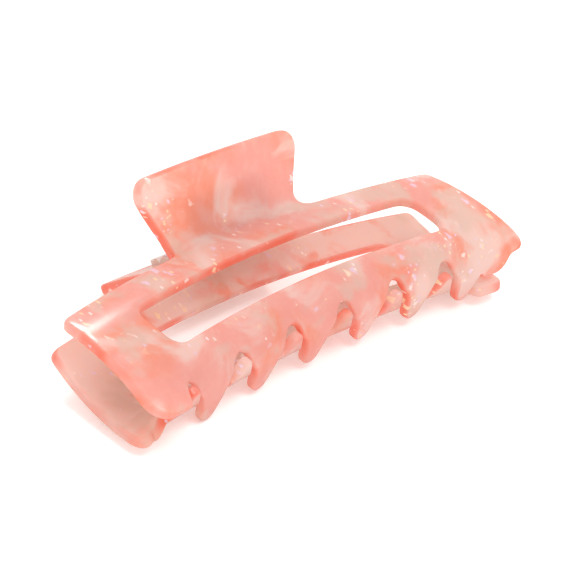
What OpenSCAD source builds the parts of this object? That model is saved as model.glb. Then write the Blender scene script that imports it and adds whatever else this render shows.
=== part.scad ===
// Claw clip: two arched jaws with interlocking teeth, hinged on a steel pin inside their thumb
// tabs and closed by a torsion spring. It lies on its rear jaw, as it rests on a table.

/* [Jaw plate] */
// Length of each jaw along its lower corners
clip_length = 111; // [106:1:114]
// Thickness of the acetate plate
plate_t = 2; // [1.8:0.1:2.2]
// Distance by which each upper corner stands in from the lower one
end_inset = 2.7; // [2:0.1:4]
// Height that the upper edge rises from its corners to its middle
top_rise = 4.6; // [4:0.1:5]
// Radius of the long arch of the whole plate
arch_r = 430; // [400:10:600]
// Radius of the upper corners
corner_r = 1.4; // [1:0.1:3]

/* [Jaw cross-section] */
// Distance from the middle plane to the outer face at the upper edge
top_gap = 4.5; // [4.3:0.1:4.8]
// Height of the upper edge at the middle of the jaw
top_z = 5.05; // [5:0.05:5.5]
// Lean of the plate at its upper edge
top_lean = 17; // [15:1:19]
// Radius of the plate's belly
belly_r = 49; // [46:1:54]
// Length of the belly from the upper edge to the tooth curl
belly_len = 19.5; // [19:0.5:20.5]
// Outer radius of the tooth curl
curl_r = 8; // [7:0.1:8.2]
// Radius of the uncurled end blocks
end_r = 26; // [22:1:34]
// Length of the uncurled end blocks below the belly
end_len = 9.2; // [8:0.1:9.6]

/* [Window] */
// Half length of the window
window_half = 40; // [36:0.5:42]
// Height of the window's upper edge at the middle
window_top = -1.8; // [-2.4:0.1:-1.4]
// Height of the window's lower edge at the middle
window_bottom = -12.4; // [-12.8:0.1:-11]
// Height that the window's edges rise from end to middle
window_rise = 2.5; // [2:0.1:3]
// Radius of the window's corners
window_r = 2.8; // [1:0.1:4]

/* [Teeth] */
// Number of teeth on each jaw
teeth = 6; // [6:1:6]
// Spacing of the teeth
tooth_pitch = 15.25; // [15:0.05:15.6]
// Place of the front jaw's first tooth along the clip
front_first = -35.4; // [-36:0.1:-35]
// Width of a front slot at its closed end
front_slot_w = 4.8; // [4.6:0.1:5]
// Reach of the closed ends of the front slots, from the middle plane
front_slot_y = -4.3; // [-4.6:0.1:-4.2]
// Width of a front tooth where it crosses the middle plane
front_tooth_w = 6.8; // [6.4:0.1:7]
// Width of a front tooth at its rounded tip
front_tip_w = 4.4; // [4:0.1:4.5]
// Reach of the front tooth tips past the middle plane
front_reach = 6.2; // [5.6:0.1:6.4]
// Width of a rear slot at its closed end
rear_slot_w = 6.8; // [6.7:0.1:7]
// Reach of the closed ends of the rear slots, from the middle plane
rear_slot_y = -5.2; // [-5.4:0.1:-5]
// Width of a rear tooth where it crosses the middle plane
rear_tooth_w = 5; // [4.6:0.1:5.2]
// Width of a rear tooth at its rounded tip
rear_tip_w = 3.2; // [3:0.1:3.4]
// Reach of the rear tooth tips past the middle plane
rear_reach = 3.2; // [2.8:0.1:3.4]
// Length of the curled shoulder between the last tooth and its end block
shoulder_run = 6; // [5:0.5:6.5]
// Reach of the front shoulder past the middle plane
front_shoulder = 1.4; // [0:0.1:1.6]
// Reach of the rear shoulder, from the middle plane
rear_shoulder = -0.5; // [-1:0.1:-0.4]
// Radius of the end blocks' lower corners
block_r = 5.6; // [4:0.2:8]

/* [Thumb tabs] */
// Half width of a tab at its root
tab_root_half = 17.2; // [16:0.2:19]
// Half width of the front tab at its tip
front_tab_half = 24.2; // [22:0.2:25]
// Half width of the rear tab at its tip
rear_tab_half = 21.6; // [21:0.2:25]
// Length of a tab
tab_len = 12; // [10:0.2:13]
// Lean of a tab at its root
tab_lean = 42; // [40:1:44]
// Radius of a tab's outward curve
tab_r = 60; // [50:2:90]
// Radius of a tab's tip corners
tab_corner_r = 3; // [2:0.2:5]
// Radius where a tab meets the upper edge
tab_fillet = 2; // [1:0.2:3]

/* [Hinge] */
// Height of the hinge pin
pin_z = 8; // [7.9:0.1:8.3]
// Diameter of the hinge pin
pin_d = 2; // [1.8:0.1:2]
// Radial clearance of the pin in its four knuckles
pin_clear = 0.05; // [0.03:0.01:0.08]
// Outer diameter of a knuckle
knuckle_d = 4.4; // [4.2:0.1:4.5]
// Thickness of a knuckle
knuckle_t = 2; // [1.6:0.1:2.2]
// Half width of the plate that carries a jaw's knuckles
bracket_half = 11; // [10.8:0.2:13]
// Thickness of the plate that carries a jaw's knuckles
bracket_t = 1.2; // [1:0.1:1.3]
// Angle between each jaw's length and the pin
jaw_skew = 0.8; // [0:0.1:1]

/* [Spring] */
// Diameter of the spring wire
wire_d = 0.8; // [0.7:0.05:0.9]
// Number of turns in the coil
turns = 6; // [5:1:7]
// Mean radius of the coil
coil_r = 1.75; // [1.7:0.05:1.8]

/* [Hidden] */
$fn = 64;
acetate = "#f4a99b";
steel = "#b9bcc0";
past = 1;                        // how far a cutter runs past what it cuts
far = 30;                        // half depth of a cutter that goes right through
tooth_half = tooth_pitch / 2;
// A jaw's own sizes: first tooth, slot width, slot reach, tooth width at the middle and at the tip, tooth
// reach, half width of the tab, shoulder reach
front_row = [front_first, front_slot_w, front_slot_y, front_tooth_w, front_tip_w, front_reach,
    front_tab_half, front_shoulder];
rear_first = -front_first - (teeth - 1.5) * tooth_pitch;
rear_row = [rear_first, rear_slot_w, rear_slot_y, rear_tooth_w, rear_tip_w, rear_reach,
    rear_tab_half, rear_shoulder];
function left_end(row) = row[0] - tooth_half - row[1] / 2;
function right_end(row) = row[0] + (teeth - 0.5) * tooth_pitch - row[1] / 2;
lap = 0.1;                       // overlap of parts that are drawn apart and joined
shoulder_end = -3;               // reach of a shoulder at its outer end
shoulder_slope = 1.5;            // length over which a shoulder falls away to its outer end
half = clip_length / 2;
upper_half = half - end_inset;
arc_step = 3;                    // angle between points on the section's curves
corner_steps = 8;                // points round an outline's corner
bond = 0.1;                      // depth by which a bracket is welded into its tab
knuckle_inset = 0.6;             // distance from the outer knuckle to the end of its bracket
knuckle_gap = 0.3;               // gap between neighbouring knuckles of the two brackets
outer_knuckle = bracket_half - knuckle_inset - knuckle_t;
inner_knuckle = -outer_knuckle + knuckle_gap;
head_t = 0.6;                    // thickness of the pin's heads
head_rim = 0.6;                  // how far a head stands out round the pin
head_gap = 0.1;                  // play between a head and the outer knuckle
pin_half = bracket_half - knuckle_inset + head_gap;

// Section of a plate. Each point lies at "in" behind the outer face, and each angle is that of the outer
// face's normal above the horizontal, pointing away from the middle plane.
function ray(c, r, a) = [c[0] - r * cos(a), c[1] + r * sin(a)];
belly_c = [-top_gap + belly_r * cos(top_lean), top_z - belly_r * sin(top_lean)];
curl_a = top_lean - belly_len / belly_r * 180 / PI;
curl_c = ray(belly_c, belly_r - curl_r, curl_a);
valley_r = 3;                    // outer radius of the valley between tab and belly
valley_c = ray(belly_c, belly_r + valley_r, top_lean);
tab_c = ray(valley_c, tab_r - valley_r, -tab_lean);
tab_tip_a = tab_lean + tab_len / tab_r * 180 / PI;
function steps(a, b) =
    let (n = ceil(abs(b - a) / arc_step))
    [for (i = [0 : n]) a + (b - a) * i / n];
function tab_at(in, t) = ray(tab_c, -tab_r - in, -t);
function tab_line(in, a, b) = [for (t = steps(a, b)) tab_at(in, t)];
function valley_line(in) = [for (t = steps(-tab_lean, top_lean)) ray(valley_c, -valley_r - in, t)];
function belly_line(in) = [for (t = steps(top_lean, curl_a)) ray(belly_c, belly_r - in, t)];
function curl_line(in) = [for (t = steps(curl_a, -90)) ray(curl_c, curl_r - in, t)];
end_c = ray(belly_c, belly_r - end_r, curl_a);
end_a = curl_a - end_len / end_r * 180 / PI;
function end_line(in) = [for (t = steps(curl_a, end_a)) ray(end_c, end_r - in, t)];
function reverse(v) = [for (i = [len(v) - 1 : -1 : 0]) v[i]];
function tail(v) = [for (i = [1 : len(v) - 1]) v[i]];
function upper_face(in) =
    concat(tab_line(in, tab_tip_a, tab_lean), tail(valley_line(in)), tail(belly_line(in)));
function curled_face(in) =
    concat(upper_face(in), tail(curl_line(in)), [[front_reach + past, curl_c[1] - curl_r + in]]);
function end_face(in) = concat(upper_face(in), tail(end_line(in)));

// The way the clip lies: the rear tab's tip and the lowest of the front teeth and rear ends touch the table.
function drop(x) = x * x / (2 * arch_r);
tip = tab_at(0, tab_tip_a);
tip_back = tab_at(plate_t, tab_tip_a);
toe = end_line(0)[len(end_line(0)) - 1];
first_tip = [-front_reach - abs(front_first) * sin(2 * jaw_skew), curl_c[1] - curl_r - drop(front_first)];
feet = concat([first_tip], [for (p = belly_line(0)) [p[0], p[1] - drop(half)]]);
tilt = min([for (p = feet) atan2(p[0] - tip[0], tip[1] - drop(rear_tab_half) - p[1])]);
function lie(p) = [p[0] * sin(tilt) + p[1] * cos(tilt), -p[0] * cos(tilt) + p[1] * sin(tilt)];
lift = -min([for (p = feet) lie([-p[0], p[1]])[1]]);
shift = -(lie([-tip_back[0], tip_back[1]])[0] + lie([toe[0], toe[1] - drop(half - block_r)])[0]) / 2;
module lying() {
    translate([0, shift, lift]) rotate([tilt - 90, 0, 0]) children();
}
module along_pin() {
    lying() rotate([0, 0, -jaw_skew]) children();
}
module along_front() {
    along_pin() rotate([0, 0, -jaw_skew]) children();
}
module other_side() {
    rotate([0, 0, 180]) children();
}

// A closed outline with its corners rounded. Each corner is [x, y, radius].
function unit(v) = v / norm(v);
function rounded_corner(a, b, c, r) =
    let (u = unit(a - b), v = unit(c - b), bend = acos(u * v), cut = r / tan(bend / 2),
         mid = b + unit(u + v) * r / sin(bend / 2), from = b + u * cut - mid, to = b + v * cut - mid,
         start = atan2(from[1], from[0]), turn = atan2(to[1], to[0]) - start,
         sweep = turn > 180 ? turn - 360 : turn < -180 ? turn + 360 : turn)
    [for (i = [0 : corner_steps])
        let (t = start + sweep * i / corner_steps) mid + r * [cos(t), sin(t)]];
function rounded(corners) = [for (i = [0 : len(corners) - 1])
    let (n = len(corners), a = corners[(i + n - 1) % n], b = corners[i], c = corners[(i + 1) % n])
    each b[2] == 0 ? [[b[0], b[1]]] :
        rounded_corner([a[0], a[1]], [b[0], b[1]], [c[0], c[1]], b[2])];
arch_steps = 12;                 // chords along a window's long edges
function arched(z) = [for (i = [1 : arch_steps - 1])
    let (across = 2 * i / arch_steps - 1) [window_half * across, z - window_rise * pow(across, 2), 0]];

// Sweeps a section of the plate along the arch.
module swept(x_half) {
    turn = 2 * asin(x_half / (arch_r - far));
    translate([0, 0, -arch_r]) rotate([90, 0, 0]) rotate([0, 0, 90 - turn / 2])
        rotate_extrude(angle = turn, $fn = 720) children();
}
// Turns a section's [across, up] points into [radius, across] for the sweep.
function on_arch(points) = [for (p = points) [arch_r + p[1], -p[0]]];

module front_cut(outline) {
    rotate([90, 0, 0]) translate([0, 0, -far]) linear_extrude(2 * far) polygon(outline);
}

function edge_z(x) = top_z - top_rise * pow(x / upper_half, 2);
function edge(a, b) = [for (i = [0 : 5]) let (x = a + (b - a) * i / 5) [x, edge_z(x), 0]];
module body_outline(row) {
    neck = tab_root_half;
    wide = neck + 3 * tab_fillet;
    low_z = toe[1] - drop(half - block_r);
    left_x = left_end(row) + 2 * lap;
    right_x = right_end(row) - 2 * lap;
    front_cut(rounded(concat(
        [[left_x, -far, 0], [left_x, low_z, 0], [-half, low_z, block_r]],
        [[-upper_half, edge_z(upper_half), corner_r]],
        edge(-upper_half + 2 * corner_r, -wide),
        [[-neck, edge_z(neck), tab_fillet], [-neck, top_z + 2 * tab_fillet, 0]],
        [[neck, top_z + 2 * tab_fillet, 0], [neck, edge_z(neck), tab_fillet]],
        edge(wide, upper_half - 2 * corner_r),
        [[upper_half, edge_z(upper_half), corner_r]],
        [[half, low_z, block_r], [right_x, low_z, 0], [right_x, -far, 0]])));
}

module tab_outline(row) {
    mid_lean = (tab_lean + tab_tip_a) / 2;
    length = norm(tip - [-top_gap, top_z]);
    translate([0, -top_gap, top_z]) rotate([mid_lean, 0, 0]) front_cut(rounded([
        [-tab_root_half, -tab_fillet, 0],
        [-tab_root_half, 0, tab_fillet],
        [-row[6], length, tab_corner_r],
        [row[6], length, tab_corner_r],
        [tab_root_half, 0, tab_fillet],
        [tab_root_half, -tab_fillet, 0]]));
}

module window() {
    high = window_top - window_rise;
    low = window_bottom - window_rise;
    front_cut(rounded(concat(
        [[-window_half, low, window_r], [-window_half, high, window_r]], arched(window_top),
        [[window_half, high, window_r], [window_half, low, window_r]], reverse(arched(window_bottom)))));
}

// Plan of the tooth row, seen along the clip's height.
module tooth_plan(row) {
    first = row[0];
    slot_r = row[1] / 2;
    root_y = row[2] + slot_r;
    root_half = tooth_half - slot_r;
    mid_half = row[3] / 2;
    tip_r = row[4] / 2;
    tip_y = row[5] - tip_r;
    last = first + (teeth - 1) * tooth_pitch;
    difference() {
        translate([left_end(row), -far]) square([right_end(row) - left_end(row), far + root_y]);
        for (i = [0 : teeth - 1]) translate([first + (i - 0.5) * tooth_pitch, root_y]) circle(slot_r);
    }
    for (i = [0 : teeth - 1]) translate([first + i * tooth_pitch, 0]) {
        polygon([[-root_half, root_y - lap], [root_half, root_y - lap], [root_half, root_y], [mid_half, 0],
            [tip_r, tip_y], [-tip_r, tip_y], [-mid_half, 0], [-root_half, root_y]]);
        translate([0, tip_y]) circle(tip_r);
    }
    out = last + root_half + shoulder_run;
    polygon([[last, -far], [last, row[7]], [out - shoulder_slope, row[7]], [out, shoulder_end], [out, -far]]);
}

module jaw(row) {
    split_z = curl_c[1];
    sweep_half = half + end_inset;
    curled = concat(curled_face(0), reverse(curled_face(plate_t)));
    straight = concat(end_face(0), reverse(end_face(plate_t)));
    color(acetate) intersection() {
        union() {
            intersection() {
                swept(sweep_half) polygon(on_arch(curled));
                union() {
                    translate([-2 * half, -2 * far, split_z]) cube([4 * half, 4 * far, 2 * far]);
                    translate([0, 0, -2 * far]) linear_extrude(3 * far) tooth_plan(row);
                }
            }
            intersection() {
                swept(sweep_half) polygon(on_arch(straight));
                for (x = [left_end(row) + lap - half, right_end(row) - lap])
                    translate([x, -far, split_z + past - 2 * far]) cube([half, 2 * far, 2 * far]);
            }
        }
        difference() {
            union() {
                body_outline(row);
                tab_outline(row);
            }
            window();
        }
    }
}

module front_jaw() {
    along_front() jaw(front_row);
}

module rear_jaw() {
    lying() other_side() jaw(rear_row);
}

// A knuckle round the pin, with the arm that joins it to the plate on the tab.
pad_low = tab_lean;
pad_high = tab_lean + 5;
notch_bar = 1.3;                 // angle left above the plate's notch for the coil
arm_inset = 0.5;                 // angle by which an arm's foot stands in from the plate's edges
arm_half = knuckle_d / 2 - 0.3;  // half depth of an arm where it meets its knuckle
arm_back = 0.5;                  // how far the arm's lower edge ends short of the pin
module knuckle(x) {
    mid_in = plate_t + bracket_t / 2;
    low = tab_at(mid_in, pad_low + arm_inset);
    high = tab_at(mid_in, pad_high - arm_inset);
    translate([x, 0, pin_z]) rotate([0, 90, 0]) cylinder(d = knuckle_d, h = knuckle_t);
    translate([x, 0, 0]) rotate([90, 0, 90]) linear_extrude(knuckle_t)
        polygon([low, high, [0, pin_z + arm_half], [-arm_back, pin_z - arm_half + bond]]);
}

module pad() {
    outer = tab_line(plate_t - bond, pad_high, pad_low);
    inner = tab_line(plate_t + bracket_t, pad_high, pad_low);
    notch_half = coil_half + 2 * wire_d;
    notch_top = tab_at(plate_t, pad_high - notch_bar)[1];
    difference() {
        intersection() {
            swept(2 * bracket_half) polygon(on_arch(concat(outer, reverse(inner))));
            translate([-bracket_half, -far, 0]) cube([2 * bracket_half, far, far]);
        }
        translate([-notch_half, -far, 0]) cube([2 * notch_half, far, notch_top]);
    }
}

module bracket(skew) {
    color(acetate) difference() {
        union() {
            rotate([0, 0, skew]) pad();
            knuckle(outer_knuckle);
            knuckle(inner_knuckle);
        }
        translate([-far, 0, pin_z]) rotate([0, 90, 0]) cylinder(d = pin_d + 2 * pin_clear, h = 2 * far);
    }
}

module front_bracket() {
    along_pin() bracket(-jaw_skew);
}

module rear_bracket() {
    along_pin() other_side() bracket(jaw_skew);
}

module hinge_pin() {
    color(steel) along_pin() translate([0, 0, pin_z]) rotate([0, 90, 0]) {
        translate([0, 0, -pin_half]) cylinder(d = pin_d, h = 2 * pin_half);
        for (side = [-1, 1]) translate([0, 0, side * (pin_half + head_t / 2)])
            cylinder(r = pin_d / 2 + head_rim, h = head_t, center = true);
    }
}

// Path of the spring wire: a leg up the front tab, the coil, and a leg up the rear tab.
wire_pitch = 1.05 * wire_d;      // spacing of the coil's turns
coil_half = turns * wire_pitch / 2;
leg_run = 6;                     // length of a leg
leg_lean = 36;                   // angle between a leg and the clip's height
coil_points = turns * 16;
coil_turn = 360 * turns + 180 - 2 * leg_lean;
function coil_at(f) =
    let (a = 180 + leg_lean + f * coil_turn) [coil_half * (2 * f - 1), coil_r * cos(a), coil_r * sin(a)];
function leg_end(side) = coil_at((side + 1) / 2) + leg_run * [0, side * sin(leg_lean), cos(leg_lean)];
wire_path = concat(
    [leg_end(-1)],
    [for (i = [0 : coil_points]) coil_at(i / coil_points)],
    [leg_end(1)]);
function heading(i) = unit(wire_path[min(i + 1, len(wire_path) - 1)] - wire_path[max(i - 1, 0)]);
wire_sides = 8;
function ring(i) =
    let (h = heading(i), u = unit(cross(h, [1, 0, 0])), v = cross(h, u))
    [for (k = [0 : wire_sides - 1])
        let (a = 360 * k / wire_sides) wire_path[i] + wire_d / 2 * (u * cos(a) + v * sin(a))];

module torsion_spring() {
    n = wire_sides;
    last = len(wire_path) - 1;
    color(steel) along_pin() translate([0, 0, pin_z]) polyhedron(
        points = [for (i = [0 : last]) each ring(i)],
        faces = concat(
            [[for (k = [0 : n - 1]) k]],
            [for (i = [0 : last - 1]) for (k = [0 : n - 1])
                each [[i * n + k, (i + 1) * n + k, (i + 1) * n + (k + 1) % n],
                      [i * n + k, (i + 1) * n + (k + 1) % n, i * n + (k + 1) % n]]],
            [[for (k = [n - 1 : -1 : 0]) last * n + k]]));
}

front_jaw();
rear_jaw();
front_bracket();
rear_bracket();
hinge_pin();
torsion_spring();
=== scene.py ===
import math

import bpy
import numpy as np
from mathutils import Matrix, Vector
from mathutils.geometry import delaunay_2d_cdt


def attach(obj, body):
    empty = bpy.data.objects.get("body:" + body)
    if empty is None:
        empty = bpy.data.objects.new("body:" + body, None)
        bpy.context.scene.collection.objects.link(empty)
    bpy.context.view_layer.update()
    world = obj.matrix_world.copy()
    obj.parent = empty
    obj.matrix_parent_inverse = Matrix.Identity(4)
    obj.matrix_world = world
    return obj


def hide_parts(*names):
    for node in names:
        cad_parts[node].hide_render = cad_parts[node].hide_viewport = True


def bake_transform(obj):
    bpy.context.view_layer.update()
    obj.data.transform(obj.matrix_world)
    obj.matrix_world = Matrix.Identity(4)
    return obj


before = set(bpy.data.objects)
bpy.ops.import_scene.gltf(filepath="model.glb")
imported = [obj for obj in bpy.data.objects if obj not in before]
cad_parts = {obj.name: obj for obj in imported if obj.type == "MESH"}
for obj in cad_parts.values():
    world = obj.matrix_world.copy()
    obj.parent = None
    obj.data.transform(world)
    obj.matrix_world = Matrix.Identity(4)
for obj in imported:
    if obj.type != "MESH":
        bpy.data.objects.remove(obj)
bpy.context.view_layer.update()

MM = 0.001

# Sizes in millimetres, as in the part's source.
PLATE_T = 2.0
HALF, UPPER_HALF = 55.5, 52.8
TOP_RISE, ARCH_R = 4.6, 430.0
TOP_GAP, TOP_Z, TOP_LEAN = 4.5, 5.05, 17.0
BELLY_R, BELLY_LEN, CURL_R = 49.0, 19.5, 8.0
END_R, END_LEN = 26.0, 9.2
WINDOW_HALF, WINDOW_TOP, WINDOW_BOTTOM = 40.0, -1.8, -12.4
TEETH, PITCH = 6, 15.25
# A jaw's own sizes: first tooth, slot width, slot reach, tooth width at the middle and at the tip, tooth
# reach, half width of the tab, shoulder reach
FRONT_ROW = (-35.4, 4.8, -4.3, 6.8, 4.4, 6.2, 24.2, 1.4)
REAR_ROW = (35.4 - (TEETH - 1.5) * PITCH, 6.8, -5.2, 5.0, 3.2, 3.2, 21.6, -0.5)
SHOULDER_RUN = 6.0          # length of the curled shoulder beside the last tooth
TAB_ROOT, TAB_LEN, TAB_LEAN, TAB_R, VALLEY_R = 17.2, 12.0, 42.0, 60.0, 3.0
PIN_Z, SKEW = 8.0, 0.8
EDGE_R = 0.6                # radius of the polished edges
CORNER_R = 1.4              # radius of the plate's upper corners
BLOCK_R = 5.6               # radius of the end blocks' lower corners
BLOCK_MESH_R = 5.4          # that radius in the mesh
TAB_FILLET, TAB_CORNER_R = 2.2, 3.0
WINDOW_RISE, WINDOW_R = 2.5, 2.8
ARC_POINTS, CORNER_POINTS = 13, 9      # points round a slot's end or a tooth's tip, and round a corner
OUTLINE_STEP, WINDOW_STEP, GRID_STEP = 0.45, 0.5, 1.0       # spacing of the mesh's points
RIM_STEPS = 5               # rings of faces in each rounded corner of an edge
EDGE_GLOW_FALL = 0.6              # how much of the rim's red, a painted glow standing in for light seen through the sheet's cut edge, is lost across a rounded corner
# Where the curl flattens into the end blocks: its start and its length
FLAT_LEFT, FLAT_RIGHT = (-41.0, 4.4), (49.5, 4.5)
# Cosine of the curl's angle where cuts begin to run upright, and the fall over which they come to it
UPRIGHT_COS, UPRIGHT_FALL = 0.74, 0.29

# The spring's wire radius, turns, coil radius, length of a leg and lean of the legs
WIRE_R, TURNS, COIL_R, LEG_LEN, LEG_LEAN = 0.4, 6, 1.75, 6.0, 36.0
COIL_PACK = 1.05            # length of the coil for each of its turns, in wire diameters
COIL_POINTS, LEG_POINTS, WIRE_SIDES = 40, 10, 14        # per turn, per leg and round the wire

# Acetate's colours
PINK, CORAL = (0.87, 0.50, 0.44, 1), (0.89, 0.42, 0.30, 1)
MILK, SAND, HAZE = (0.87, 0.74, 0.69, 1), (0.78, 0.65, 0.57, 1), (0.92, 0.68, 0.60, 1)
# Painted light: red laid on the cut edges in place of the glow of light seen a long way through the sheet
EDGE_GLOW_RED = (0.93, 0.22, 0.14, 1)
GOLD, WHITE, LILAC = (1.0, 0.86, 0.62, 1), (1.0, 0.96, 0.93, 1), (0.88, 0.78, 0.95, 1)


def ray(c, r, a):
    a = math.radians(a)
    return np.array([c[0] - r * math.cos(a), c[1] + r * math.sin(a)])


BELLY_C = np.array([-TOP_GAP + BELLY_R * math.cos(math.radians(TOP_LEAN)),
                    TOP_Z - BELLY_R * math.sin(math.radians(TOP_LEAN))])
CURL_A = TOP_LEAN - math.degrees(BELLY_LEN / BELLY_R)
CURL_C = ray(BELLY_C, BELLY_R - CURL_R, CURL_A)
END_C = ray(BELLY_C, BELLY_R - END_R, CURL_A)
VALLEY_C = ray(BELLY_C, BELLY_R + VALLEY_R, TOP_LEAN)
VALLEY_LEN = VALLEY_R * math.radians(TOP_LEAN + TAB_LEAN)
TAB_C = ray(VALLEY_C, TAB_R - VALLEY_R, -TAB_LEAN)
TAB_TIP_A = TAB_LEAN + math.degrees(TAB_LEN / TAB_R)
CURL_LEN = CURL_R * math.radians(CURL_A + 90)
FLAT_S = BELLY_LEN + CURL_LEN
TIP_S = -VALLEY_LEN - TAB_LEN


def drop(x):
    return x * x / (2 * ARCH_R)


TIP = ray(TAB_C, -TAB_R, -TAB_TIP_A)
TIP_BACK = ray(TAB_C, -TAB_R - PLATE_T, -TAB_TIP_A)
TOE = ray(END_C, END_R, CURL_A - math.degrees(END_LEN / END_R))
FEET = [np.array([-FRONT_ROW[5] + FRONT_ROW[0] * math.sin(math.radians(2 * SKEW)),
                  CURL_C[1] - CURL_R - drop(FRONT_ROW[0])])]
FEET += [ray(BELLY_C, BELLY_R, a) - np.array([0, drop(HALF)]) for a in np.linspace(TOP_LEAN, CURL_A, 9)]
TILT = min(math.atan2(p[0] - TIP[0], TIP[1] - drop(REAR_ROW[6]) - p[1]) for p in FEET)


def lie(across, up):
    return (across * math.sin(TILT) + up * math.cos(TILT), -across * math.cos(TILT) + up * math.sin(TILT))


LIFT = -min(lie(-p[0], p[1])[1] for p in FEET)
SHIFT = -(lie(-TIP_BACK[0], TIP_BACK[1])[0] + lie(TOE[0], TOE[1] - drop(HALF - BLOCK_R))[0]) / 2


def lying(turn):
    """Places clip coordinates (mm, turned about the clip's height by turn degrees) in the row frame."""
    return (Matrix.Scale(MM, 4) @ Matrix.Translation((0, SHIFT, LIFT))
            @ Matrix.Rotation(TILT - math.pi / 2, 4, "X") @ Matrix.Rotation(math.radians(turn), 4, "Z"))


FRONT = lying(-2 * SKEW)
REAR = lying(0) @ Matrix.Rotation(math.pi, 4, "Z")
PIN = lying(-SKEW)


def ease(t):
    t = min(max(t, 0.0), 1.0)
    return t * t * (3 - 2 * t)


def upright(angle, depth):
    """Angle at a depth behind the curl's outer face, such that cuts in its lower part run straight up."""
    reach = math.cos(math.radians(angle))
    straight = -math.degrees(math.acos(min(1.0, CURL_R * reach / (CURL_R - depth))))
    share = ease((UPRIGHT_COS - reach) / UPRIGHT_FALL)
    return angle * (1 - share) + straight * share


def section(s, depth, flat_end):
    """Point (across, up) of the plate's section, s along the outer face and depth behind it."""
    if s < -VALLEY_LEN:
        return ray(TAB_C, -TAB_R - depth, -TAB_LEAN + math.degrees((s + VALLEY_LEN) / TAB_R))
    if s < 0:
        return ray(VALLEY_C, -VALLEY_R - depth, TOP_LEAN + math.degrees(s / VALLEY_R))
    if s < BELLY_LEN:
        return ray(BELLY_C, BELLY_R - depth, TOP_LEAN - math.degrees(s / BELLY_R))
    if flat_end:
        return ray(END_C, END_R - depth, CURL_A - math.degrees((s - BELLY_LEN) / END_R))
    if s < FLAT_S:
        return ray(CURL_C, CURL_R - depth, upright(CURL_A - math.degrees((s - BELLY_LEN) / CURL_R), depth))
    return np.array([CURL_C[0] + s - FLAT_S, CURL_C[1] - CURL_R + depth])


def bend(x, s, depth):
    """Clip coordinates of a point of the flat plate."""
    flat = ease((FLAT_LEFT[0] - x) / FLAT_LEFT[1]) + ease((x - FLAT_RIGHT[0]) / FLAT_RIGHT[1])
    p = section(s, depth, False)
    if s > BELLY_LEN and flat > 0:
        p = p * (1 - flat) + section(s, depth, True) * flat
    r = ARCH_R + p[1]
    return (x, p[0], math.sqrt(r * r - x * x) - ARCH_R)


def s_at_up(up):
    return math.radians(TOP_LEAN - math.degrees(math.asin((up - BELLY_C[1]) / BELLY_R))) * BELLY_R


def s_at_across(y):
    if y >= CURL_C[0]:
        return FLAT_S + y - CURL_C[0]
    return BELLY_LEN + math.radians(CURL_A + math.degrees(math.acos((CURL_C[0] - y) / CURL_R))) * CURL_R


def edge_s(x):
    return s_at_up(TOP_Z - TOP_RISE * (x / UPPER_HALF) ** 2 + drop(x))


def rounded(corners):
    """Closed outline from (x, v, radius) corners."""
    out = []
    n = len(corners)
    for i in range(n):
        a, b, c = (np.array(corners[(i + k) % n][:2], float) for k in (-1, 0, 1))
        r = corners[i][2]
        u, w = (a - b) / np.linalg.norm(a - b), (c - b) / np.linalg.norm(c - b)
        bend_a = math.acos(max(-1.0, min(1.0, float(u @ w))))
        if r == 0 or bend_a > 3.1:
            out.append(b)
            continue
        cut = r / math.tan(bend_a / 2)
        p0, p1 = b + u * cut, b + w * cut
        mid = b + (u + w) / np.linalg.norm(u + w) * r / math.sin(bend_a / 2)
        for t in np.linspace(0, 1, CORNER_POINTS):
            q = p0 * (1 - t) + p1 * t - mid
            out.append(mid + q / np.linalg.norm(q) * r)
    return out


def resample(points, step, soften):
    """Evenly spaced closed loop, softened a little so that no corner is sharp."""
    p = np.array(points + [points[0]])
    d = np.concatenate([[0], np.cumsum(np.linalg.norm(np.diff(p, axis=0), axis=1))])
    n = int(d[-1] / step)
    t = np.linspace(0, d[-1], n, endpoint=False)
    q = np.column_stack([np.interp(t, d, p[:, 0]), np.interp(t, d, p[:, 1])])
    for _ in range(soften):
        q = (np.roll(q, 1, 0) + 2 * q + np.roll(q, -1, 0)) / 4
    return q


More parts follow.
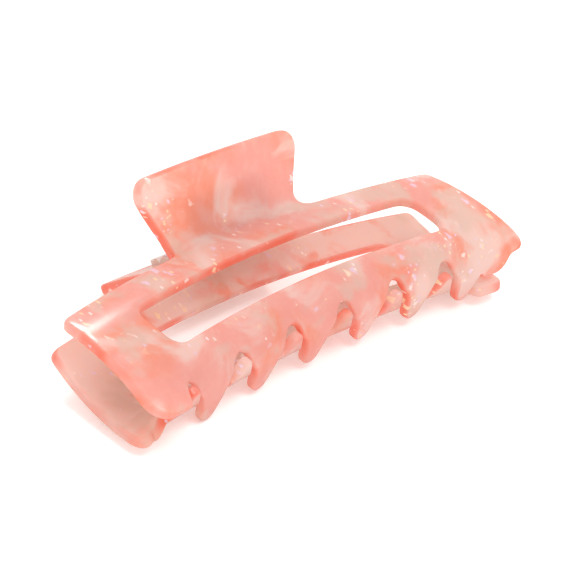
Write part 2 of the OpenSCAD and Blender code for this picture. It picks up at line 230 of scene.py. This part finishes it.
def plate_outline(teeth):
    """Outline of the flat plate in (x, -s), anticlockwise."""
    first, slot_w, slot_y, tooth_w, tip_w, reach, tab_half, shoulder = teeth
    left, right = first - PITCH / 2 - slot_w / 2, first + (TEETH - 0.5) * PITCH - slot_w / 2
    end_s = BELLY_LEN + END_LEN - 0.1
    pts = [(-HALF + 0.05, -end_s + 0.5, BLOCK_MESH_R), (left, -end_s, 0.8)]
    slot_r = slot_w / 2
    root_y = slot_y + slot_r
    for i in range(TEETH):
        xs = first + (i - 0.5) * PITCH
        xc = xs + PITCH / 2
        for a in np.linspace(180, 0, ARC_POINTS):
            x = xs + slot_r * math.cos(math.radians(a))
            y = root_y - slot_r * math.sin(math.radians(a))
            pts.append((x, -s_at_across(y), 0))
        pts.append((xc - tooth_w / 2, -s_at_across(0), 0))
        r = tip_w / 2
        for a in np.linspace(180, 0, ARC_POINTS):
            pts.append((xc + r * math.cos(math.radians(a)),
                        -s_at_across(reach - r + r * math.sin(math.radians(a))), 0))
        pts.append((xc + tooth_w / 2, -s_at_across(0), 0))
    pts += [(right - 1.5, -s_at_across(shoulder), 0), (right + SHOULDER_RUN - 2, -s_at_across(shoulder), 1.5),
            (right + SHOULDER_RUN - 0.5, -end_s + 1.2, 0), (HALF - 0.35, -end_s + 1.2, 3.0)]
    pts.append((UPPER_HALF, -edge_s(UPPER_HALF), CORNER_R))
    wide = TAB_ROOT + 5
    for x in np.linspace(UPPER_HALF - 4, wide, 8):
        pts.append((x, -edge_s(x), 0))
    root = -edge_s(TAB_ROOT) + 0.3
    pts += [(TAB_ROOT, root, TAB_FILLET), (tab_half, -TIP_S, TAB_CORNER_R),
            (-tab_half, -TIP_S, TAB_CORNER_R), (-TAB_ROOT, root, TAB_FILLET)]
    for x in np.linspace(-wide, -UPPER_HALF + 4, 8):
        pts.append((x, -edge_s(x), 0))
    pts.append((-UPPER_HALF, -edge_s(UPPER_HALF), CORNER_R))
    return resample(rounded(pts), OUTLINE_STEP, 4)


def window_outline():
    """Outline of the window in (x, -s), clockwise."""
    def edge(x, z):
        return -s_at_up(z - WINDOW_RISE * (x / WINDOW_HALF) ** 2 + drop(x))
    xs = np.linspace(-WINDOW_HALF + 4, WINDOW_HALF - 4, 12)
    pts = [(-WINDOW_HALF, edge(WINDOW_HALF, WINDOW_TOP), WINDOW_R)]
    pts += [(x, edge(x, WINDOW_TOP), 0) for x in xs]
    pts.append((WINDOW_HALF, edge(WINDOW_HALF, WINDOW_TOP), WINDOW_R))
    pts.append((WINDOW_HALF, edge(WINDOW_HALF, WINDOW_BOTTOM), WINDOW_R))
    pts += [(x, edge(x, WINDOW_BOTTOM), 0) for x in xs[::-1]]
    pts.append((-WINDOW_HALF, edge(WINDOW_HALF, WINDOW_BOTTOM), WINDOW_R))
    return resample(rounded(pts), WINDOW_STEP, 3)


def inset(loop, d):
    """Loop moved to its left by d."""
    t = np.roll(loop, -1, 0) - np.roll(loop, 1, 0)
    t /= np.linalg.norm(t, axis=1)[:, None]
    return loop + np.column_stack([-t[:, 1], t[:, 0]]) * d


def inside(points, loop):
    x, y = points[:, 0][:, None], points[:, 1][:, None]
    a, b = loop, np.roll(loop, -1, 0)
    cross = (a[:, 1] > y) != (b[:, 1] > y)
    with np.errstate(divide="ignore", invalid="ignore"):
        at = (b[:, 0] - a[:, 0]) * (y - a[:, 1]) / (b[:, 1] - a[:, 1]) + a[:, 0]
    return (np.logical_and(cross, x < at).sum(1) % 2) == 1


def make_mesh(name, verts, faces, rim=None):
    mesh = bpy.data.meshes.new(name)
    mesh.from_pydata([tuple(v) for v in verts], [], faces)
    mesh.polygons.foreach_set("use_smooth", [True] * len(mesh.polygons))
    if rim is not None:
        mesh.attributes.new("rim", "FLOAT", "POINT").data.foreach_set("value", np.array(rim, np.float32))
    mesh.update()
    obj = bpy.data.objects.new(name, mesh)
    bpy.context.scene.collection.objects.link(obj)
    return obj


def sheet(caps):
    """Points and triangles of the flat face between the caps, and where each cap point went."""
    gx, gy = np.meshgrid(np.arange(-55, 55.1, GRID_STEP), np.arange(-36, 15, GRID_STEP))
    grid = np.column_stack([gx.ravel(), gy.ravel()])
    grid = grid[inside(grid, caps[0]) & ~inside(grid, caps[1])]
    edge_points = np.vstack(caps)
    near = np.array([np.min(np.sum((edge_points - g) ** 2, axis=1)) for g in grid])
    grid = grid[near > 0.5]     # so that no point crowds the edge
    edges, start = [], 0
    for cap in caps:
        n = len(cap)
        edges += [(start + i, start + (i + 1) % n) for i in range(n)]
        start += n
    res = delaunay_2d_cdt([Vector(p) for p in np.vstack(caps + [grid])], edges, [], 0, 1e-5)
    pts = np.array([tuple(v) for v in res[0]])
    mid = np.array([pts[list(f)].mean(0) for f in res[2]])
    keep = inside(mid, caps[0]) & ~inside(mid, caps[1])
    index = {old: new for new, olds in enumerate(res[3]) for old in olds}
    return pts, [f for f, k in zip(res[2], keep) if k], index


def plate_mesh(teeth):
    """Vertices, faces and rim weights (where the painted edge glow goes) of the bent plate with rounded
    edges, in clip coordinates.
    """
    loops = [plate_outline(teeth), window_outline()]
    caps = [inset(loop, EDGE_R) for loop in loops]
    pts, tris, index = sheet(caps)
    n = len(pts)
    verts = [bend(x, -v, depth) for depth in (0.0, PLATE_T) for x, v in pts]
    rim = [0.0] * len(verts)
    faces = [tuple(f) for f in tris] + [tuple(n + i for i in reversed(f)) for f in tris]
    levels = [(EDGE_R * (1 - math.sin(a)), EDGE_R * (1 - math.cos(a)))
              for a in np.linspace(0, math.pi / 2, RIM_STEPS + 1)[1:]]
    levels += [(d, PLATE_T - h) for d, h in reversed(levels)]
    start = 0
    for loop in loops:
        count = len(loop)
        rings = [[index[start + i] for i in range(count)]]
        for d, h in levels:
            rings.append(list(range(len(verts), len(verts) + count)))
            verts += [bend(x, -v, h) for x, v in inset(loop, d)]
            # Rim weight for the painted edge glow: full at the cut wall, fading over the rounded corners
            rim += [1 - EDGE_GLOW_FALL * d / EDGE_R] * count
        rings.append([n + index[start + i] for i in range(count)])
        for a, b in zip(rings, rings[1:]):
            faces += [(a[i], b[i], b[(i + 1) % count], a[(i + 1) % count]) for i in range(count)]
        start += count
    return verts, faces, rim


# Materials

def nodes_of(name):
    mat = bpy.data.materials.new(name)
    mat.use_nodes = True
    tree = mat.node_tree
    return mat, tree, tree.nodes["Principled BSDF"]


def mix(tree, factor, a, b):
    node = tree.nodes.new("ShaderNodeMix")
    node.data_type = "RGBA"
    for socket, value in ((node.inputs[0], factor), (node.inputs[6], a), (node.inputs[7], b)):
        if isinstance(value, (int, float, tuple)):
            socket.default_value = value
        else:
            tree.links.new(value, socket)
    return node.outputs[2]


def ramp(tree, value, low, high, a=0.0, b=1.0):
    node = tree.nodes.new("ShaderNodeMapRange")
    node.interpolation_type = "SMOOTHSTEP"
    for k, v in zip(range(1, 5), (low, high, a, b)):
        node.inputs[k].default_value = v
    tree.links.new(value, node.inputs[0])
    return node.outputs[0]


def maths(tree, op, a, b):
    node = tree.nodes.new("ShaderNodeMath")
    node.operation = op
    for socket, value in zip(node.inputs, (a, b)):
        if isinstance(value, (int, float)):
            socket.default_value = value
        else:
            tree.links.new(value, socket)
    return node.outputs[0]


def noise(tree, at, scale, detail, rough, distort):
    node = tree.nodes.new("ShaderNodeTexNoise")
    node.inputs["Scale"].default_value = scale
    node.inputs["Detail"].default_value = detail
    node.inputs["Roughness"].default_value = rough
    node.inputs["Distortion"].default_value = distort
    tree.links.new(at, node.inputs["Vector"])
    return node.outputs["Fac"]


def moved(tree, vector, **values):
    node = tree.nodes.new("ShaderNodeMapping")
    for name, value in values.items():
        node.inputs[name].default_value = value
    tree.links.new(vector, node.inputs["Vector"])
    return node.outputs["Vector"]


def marbling(tree, at, milk):
    """Clouds of peach, milk and sand, with a painted red glow at the polished edges that stands in for light
    seen a long way through the sheet.
    """
    cloud = ramp(tree, noise(tree, at, 85, 4, 0.55, 0.5), 0.45 - milk, 0.62 - milk)
    blush = ramp(tree, noise(tree, at, 62, 3, 0.5, 0.4), 0.44, 0.60)
    grey = ramp(tree, noise(tree, at, 110, 3, 0.5, 0.3), 0.49, 0.65, 0.0, 0.85)
    fine = ramp(tree, noise(tree, at, 380, 4, 0.6, 0.3), 0.35, 0.75, 0.0, 0.3)
    base = mix(tree, blush, PINK, CORAL)
    base = mix(tree, cloud, base, MILK)
    base = mix(tree, grey, base, SAND)
    base = mix(tree, fine, base, HAZE)
    # Painted edge glow: the rim weight, broken into patches, mixes in red that stands in for light through
    # the sheet's edge
    rim = tree.nodes.new("ShaderNodeAttribute")
    rim.attribute_name = "rim"
    edge_glow_patch = ramp(tree, noise(tree, at, 60, 2, 0.5, 0.5), 0.42, 0.60, 0.15, 0.8)
    return mix(tree, maths(tree, "MULTIPLY", rim.outputs["Fac"], edge_glow_patch), base, EDGE_GLOW_RED)


def chips(tree, at, base):
    """Pearl chips of two sizes in patches, gold, white or lilac."""
    slanted = moved(tree, at, Scale=(1.0, 0.62, 1.3), Rotation=(0.5, 0.3, 0.8))
    patch = ramp(tree, noise(tree, at, 95, 3, 0.5, 0.3), 0.50, 0.58)
    for scale, least in ((470, 0.55), (980, 0.72)):
        cells = tree.nodes.new("ShaderNodeTexVoronoi")
        cells.inputs["Scale"].default_value = scale
        cells.distance = "MINKOWSKI"
        cells.inputs["Exponent"].default_value = 0.8
        tree.links.new(slanted, cells.inputs["Vector"])
        split = tree.nodes.new("ShaderNodeSeparateColor")
        tree.links.new(cells.outputs["Color"], split.inputs[0])
        body = ramp(tree, cells.outputs["Distance"], 0.40, 0.70, 1.0, 0.0)
        chosen = ramp(tree, split.outputs[0], least, least + 0.04)
        chip = maths(tree, "MULTIPLY", maths(tree, "MULTIPLY", body, chosen), patch)
        pearl = mix(tree, ramp(tree, split.outputs[1], 0.3, 0.36), GOLD, WHITE)
        pearl = mix(tree, ramp(tree, split.outputs[1], 0.66, 0.72), pearl, LILAC)
        base = mix(tree, maths(tree, "MULTIPLY", chip, 0.95), base, pearl)
    return base


def acetate(name, offset, milk=0.0, through=0.55):
    """Marbled peach and milk acetate with pearl chips set in it; milk makes it paler, through
    is the share of light that passes through the sheet."""
    mat, tree, bsdf = nodes_of(name)
    coord = tree.nodes.new("ShaderNodeTexCoord").outputs["Object"]
    at = moved(tree, coord, Location=offset)
    base = chips(tree, at, marbling(tree, at, milk))
    tree.links.new(base, bsdf.inputs["Base Color"])
    bsdf.inputs["Roughness"].default_value = 0.12
    bsdf.inputs["IOR"].default_value = 1.45
    bsdf.inputs["Specular IOR Level"].default_value = 0.45
    bsdf.inputs["Subsurface Weight"].default_value = 0.7
    bsdf.inputs["Subsurface Radius"].default_value = (1.0, 0.6, 0.5)
    bsdf.inputs["Subsurface Scale"].default_value = 0.003
    bsdf.inputs["Transmission Weight"].default_value = 0.1
    glow = tree.nodes.new("ShaderNodeBsdfTranslucent")
    tree.links.new(base, glow.inputs["Color"])
    blend = tree.nodes.new("ShaderNodeMixShader")
    blend.inputs[0].default_value = through
    tree.links.new(bsdf.outputs[0], blend.inputs[1])
    tree.links.new(glow.outputs[0], blend.inputs[2])
    tree.links.new(blend.outputs[0], tree.nodes["Material Output"].inputs["Surface"])
    return mat


def steel():
    mat, tree, bsdf = nodes_of("spring_steel")
    coord = tree.nodes.new("ShaderNodeTexCoord").outputs["Object"]
    grain = noise(tree, coord, 900, 3, 0.5, 0.0)
    tree.links.new(mix(tree, grain, (0.55, 0.55, 0.56, 1), (0.72, 0.71, 0.70, 1)), bsdf.inputs["Base Color"])
    tree.links.new(ramp(tree, grain, 0.3, 0.7, 0.22, 0.38), bsdf.inputs["Roughness"])
    bsdf.inputs["Metallic"].default_value = 1.0
    return mat


front_acetate = acetate("front_acetate", (0.013, 0.021, 0.007))
# Painted light: the rear jaw's copy of the same acetate is made paler (milk 0.12) to lift the shade on its
# inner face
rear_acetate = acetate("rear_acetate", (0.151, -0.083, 0.044), 0.12, 0.65)
bracket_acetate = acetate("bracket_acetate", (-0.090, 0.050, 0.110))
spring_steel = steel()

# Jaws
for name, node, body, place, teeth, mat in (
        ("front_jaw_plate", "front_jaw", "front", FRONT, FRONT_ROW, front_acetate),
        ("rear_jaw_plate", "rear_jaw", "rear", REAR, REAR_ROW, rear_acetate)):
    plate_verts, plate_faces, plate_rim = plate_mesh(teeth)
    jaw = make_mesh(name, [place @ Vector(v) for v in plate_verts], plate_faces, plate_rim)
    jaw.data.materials.append(mat)
    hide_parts(node)
    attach(jaw, body)

# Brackets and pin keep their shapes, with polished edges
for node in ("front_bracket", "rear_bracket", "hinge_pin"):
    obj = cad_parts[node]
    obj.data.materials.clear()
    obj.data.materials.append(spring_steel if node == "hinge_pin" else bracket_acetate)
    bevel = obj.modifiers.new("polish", "BEVEL")
    bevel.width = 0.15 * MM
    bevel.segments = 3
    bevel.limit_method = "ANGLE"


# Spring
def spring_mesh():
    """Vertices and faces of the coil and its two legs, about the pin."""
    lean = math.radians(LEG_LEAN)
    coil_half = TURNS * 2 * WIRE_R * COIL_PACK / 2
    sweep = 2 * math.pi * TURNS + math.pi - 2 * lean

    def coil(f):
        a = math.pi + lean + f * sweep
        return np.array([coil_half * (2 * f - 1), COIL_R * math.cos(a), COIL_R * math.sin(a)])

    def leg(side):
        out = np.array([0, side * math.sin(lean), math.cos(lean)])
        return [coil((side + 1) / 2) + k * LEG_LEN / LEG_POINTS * out for k in range(1, LEG_POINTS + 1)]

    path = np.array(leg(-1)[::-1] + [coil(f) for f in np.linspace(0, 1, TURNS * COIL_POINTS)] + leg(1))
    sides = WIRE_SIDES
    verts, faces = [], []
    tangents = np.gradient(path, axis=0)
    for p, t in zip(path, tangents):
        t = t / np.linalg.norm(t)
        u = np.cross(t, [1.0, 0, 0])
        u /= np.linalg.norm(u)
        v = np.cross(t, u)
        verts += [p + WIRE_R * (u * math.cos(a) + v * math.sin(a))
                  for a in np.linspace(0, 2 * math.pi, sides, endpoint=False)]
    for i in range(len(path) - 1):
        for k in range(sides):
            m = (k + 1) % sides
            faces.append((i * sides + k, (i + 1) * sides + k, (i + 1) * sides + m, i * sides + m))
    faces.append(tuple(range(sides)))
    faces.append(tuple(range(len(verts) - 1, len(verts) - sides - 1, -1)))
    return verts, faces


spring_verts, spring_faces = spring_mesh()
spring_places = [PIN @ Vector((v[0], v[1], v[2] + PIN_Z)) for v in spring_verts]
spring = make_mesh("spring_wire", spring_places, spring_faces)
spring.data.materials.append(spring_steel)
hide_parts("torsion_spring")
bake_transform(spring)


# Studio
def plain(name, colour, rough):
    mat, tree, bsdf = nodes_of(name)
    coord = tree.nodes.new("ShaderNodeTexCoord").outputs["Object"]
    grain = maths(tree, "MULTIPLY", noise(tree, coord, 30, 2, 0.5, 0.0), 0.03)
    tree.links.new(mix(tree, grain, colour, (1, 1, 1, 1)), bsdf.inputs["Base Color"])
    bsdf.inputs["Roughness"].default_value = rough
    return mat


floor = make_mesh("floor", [(-4, -4, 0), (4, -4, 0), (4, 4, 0), (-4, 4, 0)], [(0, 1, 2, 3)])
paper = plain("floor_paper", (0.97, 0.97, 0.97, 1), 0.6)
paper.node_tree.nodes["Principled BSDF"].inputs["Emission Color"].default_value = (1, 1, 1, 1)
paper.node_tree.nodes["Principled BSDF"].inputs["Emission Strength"].default_value = 0.15
floor.data.materials.append(paper)


def area(name, place, target, size, power, colour=(1, 1, 1)):
    lamp = bpy.data.lights.new(name, "AREA")
    lamp.shape = "RECTANGLE"
    lamp.size, lamp.size_y = size
    lamp.energy = power
    lamp.color = colour
    obj = bpy.data.objects.new(name, lamp)
    bpy.context.scene.collection.objects.link(obj)
    obj.location = place
    obj.rotation_euler = (Vector(target) - Vector(place)).to_track_quat("-Z", "Y").to_euler()


area("key", (-0.15, -0.35, 0.8), (0, 0, 0), (0.3, 0.3), 2.0)
area("side", (-0.7, -0.5, 0.35), (0, 0, 0), (0.5, 0.4), 1.2)
area("back", (0.5, 0.5, 0.6), (0, 0, 0), (0.15, 0.15), 2.0)

world = bpy.data.worlds.new("studio")
bpy.context.scene.world = world
world.use_nodes = True
world.node_tree.nodes["Background"].inputs["Color"].default_value = (1, 1, 1, 1)
world.node_tree.nodes["Background"].inputs["Strength"].default_value = 1.02
bpy.context.scene.view_settings.view_transform = "Standard"

camera_data = bpy.data.cameras.new("camera")
camera_data.lens = 149.56
camera_data.sensor_width = 36
camera_data.clip_start = 0.01
camera = bpy.data.objects.new("camera", camera_data)
bpy.context.scene.collection.objects.link(camera)
camera.location = (-0.32973, -0.21083, 0.20982)
camera.rotation_euler = (math.radians(62.0467), math.radians(-12.5847), math.radians(-51.4954))
bpy.context.scene.camera = camera
